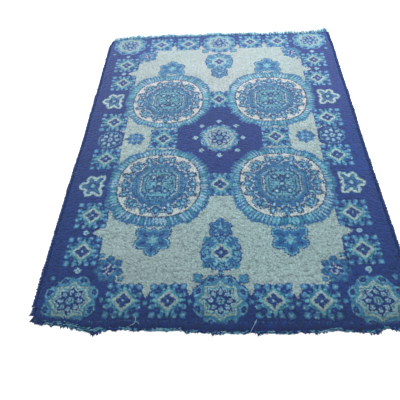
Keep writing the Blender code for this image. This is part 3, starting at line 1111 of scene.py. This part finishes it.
# Loose threads: where each leaves the cloth, its tone and radius, and its points from there, in mm
THREADS = [
    (0.15, -1.165, "sky", 1.3, (
        (0, 0, 12), (-14, -22, 14), (-24, -40, 10), (-34, -58, 5), (-30, -74, 2),
    )),
    (0.143, -1.17, "lavender", 1.6, ((0, 0, 11), (8, 10, 15), (10, 16, 12))),
    (-0.374, -1.172, "sky", 1.5, ((0, 0, 11), (4, 16, 15), (-2, 32, 14), (-10, 40, 12))),
    (-0.374, -1.172, "frost", 1.5, ((0, 0, 11), (-8, -8, 13), (-20, -10, 11))),
    (-0.37, -1.165, "sky", 1.3, ((0, 0, 12), (10, -4, 13), (18, -14, 10))),
    (0.48, -1.16, "aqua", 1.2, ((0, 0, 11), (-12, 14, 14), (-26, 30, 12))),
    (-0.04, -1.185, "ink", 1.1, ((0, 0, 6), (-3, -24, 4), (2, -46, 2))),
    (0.625, -1.18, "navy", 1.1, ((0, 0, 6), (-4, -20, 4), (-10, -42, 2))),
    (0.662, -1.18, "ink", 1.1, ((0, 0, 6), (4, -20, 4), (2, -40, 2))),
    (-0.838, -0.715, "aqua", 1.1, ((0, 0, 8), (-12, -6, 6), (-26, -26, 3), (-30, -44, 2))),
    (-0.832, -0.29, "sky", 1.1, ((0, 0, 8), (-8, 8, 9), (-2, 22, 10), (8, 14, 10))),
    (-0.834, 0.02, "sky", 1.0, ((0, 0, 8), (-10, 6, 6), (-20, -4, 3))),
]
THREAD_SIDES = 6


def thread_arrays(x, y, tone, thick, path):
    """One loose thread as a thin round tube along a smooth line through its points."""
    knots = np.array(path, float) / 1000 + (x, y, 0.0)
    t = np.linspace(0, len(knots) - 1, 6 * (len(knots) - 1) + 1)
    line = np.stack([np.interp(t, np.arange(len(knots)), knots[:, k]) for k in range(3)], 1)
    for _ in range(4):
        line[1:-1] = (line[:-2] + 2 * line[1:-1] + line[2:]) / 4
    along = np.gradient(line, axis=0)
    along /= np.linalg.norm(along, axis=1, keepdims=True)
    across, up = across_and_up(along)
    radius = thick / 1000 * np.linspace(1.0, 0.55, len(line))
    corners = []
    for step in range(THREAD_SIDES):
        turn = 2 * math.pi * step / THREAD_SIDES
        corners.append(line + (math.cos(turn) * across + math.sin(turn) * up) * radius[:, None])
    colour = DYES[number(tone)]
    return tubes(np.stack(corners, 1).reshape(1, -1, 3), THREAD_SIDES, colour[None])


# Each edge: its piece's name, where it is, its rows, its CAD node, and its clumps' spacing
EDGES = [
    ("front_fringe", "front", FRONT_ROWS, "frayed_end_front", 0.015),
    ("back_fringe", "back", BACK_ROWS, "frayed_end_back", 0.014),
    ("left_edge", "left", SIDE_ROWS, "side_edge_left", 0.013),
    ("right_edge", "right", SIDE_ROWS, "side_edge_right", 0.013),
]


def build_edges():
    """The four edges, each in one piece with its locks and stitches, and the loose threads."""
    pieces = []
    for name, edge, rows, node, clump in EDGES:
        parts = [joined([row_of_locks(edge, row, clump) for row in rows])]
        if edge in ("left", "right"):
            parts += [whip_stitches(edge), edge_teeth(edge)]
        if edge == "front":
            parts.append(hem_arrays())
            parts.append(weft_strands(430, {"aqua": 5, "teal": 3, "sky": 3, "slate": 2}))
        points, quads, colours = joined(parts)
        piece = add_mesh(name, points, quads, colours, EDGE_WOOL)
        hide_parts(node)
        pieces.append(piece)
    points, quads, colours = joined([thread_arrays(*thread) for thread in THREADS])
    pieces.append(add_mesh("loose_threads", points, quads, colours, EDGE_WOOL))
    return pieces


backing = build_backing()
pile = build_pile()
edges = build_edges()
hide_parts("rug_pile")

# The camera's focal length and the picture's side, in pixels
FOCAL_PIXELS, PICTURE_PIXELS = 418, 400


def build_floor():
    """A wide pale floor that glows a little, so that it looks almost white."""
    mesh = bpy.data.meshes.new("floor")
    half = 40.0
    corners = [(-half, -half, 0), (half, -half, 0), (half, half, 0), (-half, half, 0)]
    mesh.from_pydata(corners, [], [(0, 1, 2, 3)])
    material, _, shader = new_material("pale_floor")
    set_inputs(shader, {"Base Color": (0.9, 0.9, 0.9, 1.0), "Emission Color": (1.0, 1.0, 1.0, 1.0)})
    set_inputs(shader, {"Emission Strength": 0.75, "Roughness": 0.9, "Specular IOR Level": 0.1})
    mesh.materials.append(material)
    floor = add_object("floor", mesh)


def add_light(name, place, target, size, power, colour):
    """A square lamp at a place, turned towards a target."""
    data = bpy.data.lights.new(name, "AREA")
    data.shape = "SQUARE"
    data.size = size
    data.energy = power
    data.color = colour
    light = add_object(name, data)
    light.location = place
    light.rotation_mode = "QUATERNION"
    light.rotation_quaternion = (Vector(target) - Vector(place)).to_track_quat("-Z", "Y")


def build_camera():
    """The camera stands where the photograph's pattern and edges put it."""
    data = bpy.data.cameras.new("camera")
    data.sensor_width = 36.0
    data.lens = data.sensor_width * FOCAL_PIXELS / PICTURE_PIXELS
    data.clip_end = 100.0
    camera = add_object("camera", data)
    right = (0.99846677, 0.02437181, -0.04970036)
    down = (-0.01259505, -0.77427965, -0.63271826)
    ahead = (-0.05390247, 0.63237413, -0.77278553)
    place = (0.013, -1.8961, 1.7209 + 0.01)
    rows = [(right[k], -down[k], -ahead[k], place[k]) for k in range(3)]
    camera.matrix_world = Matrix((*rows, (0, 0, 0, 1)))
    bpy.context.scene.camera = camera


build_floor()
add_light("window", (0.1, 1.1, 2.1), (0, 0.6, 0), size=2.0, power=63.0, colour=(1.0, 1.0, 1.0))
build_camera()
world = bpy.data.worlds.new("studio")
world.use_nodes = True
set_inputs(world.node_tree.nodes["Background"], {"Color": (1.0, 1.0, 1.0, 1.0), "Strength": 0.47})
bpy.context.scene.world = world
bpy.context.scene.view_settings.view_transform = "Standard"
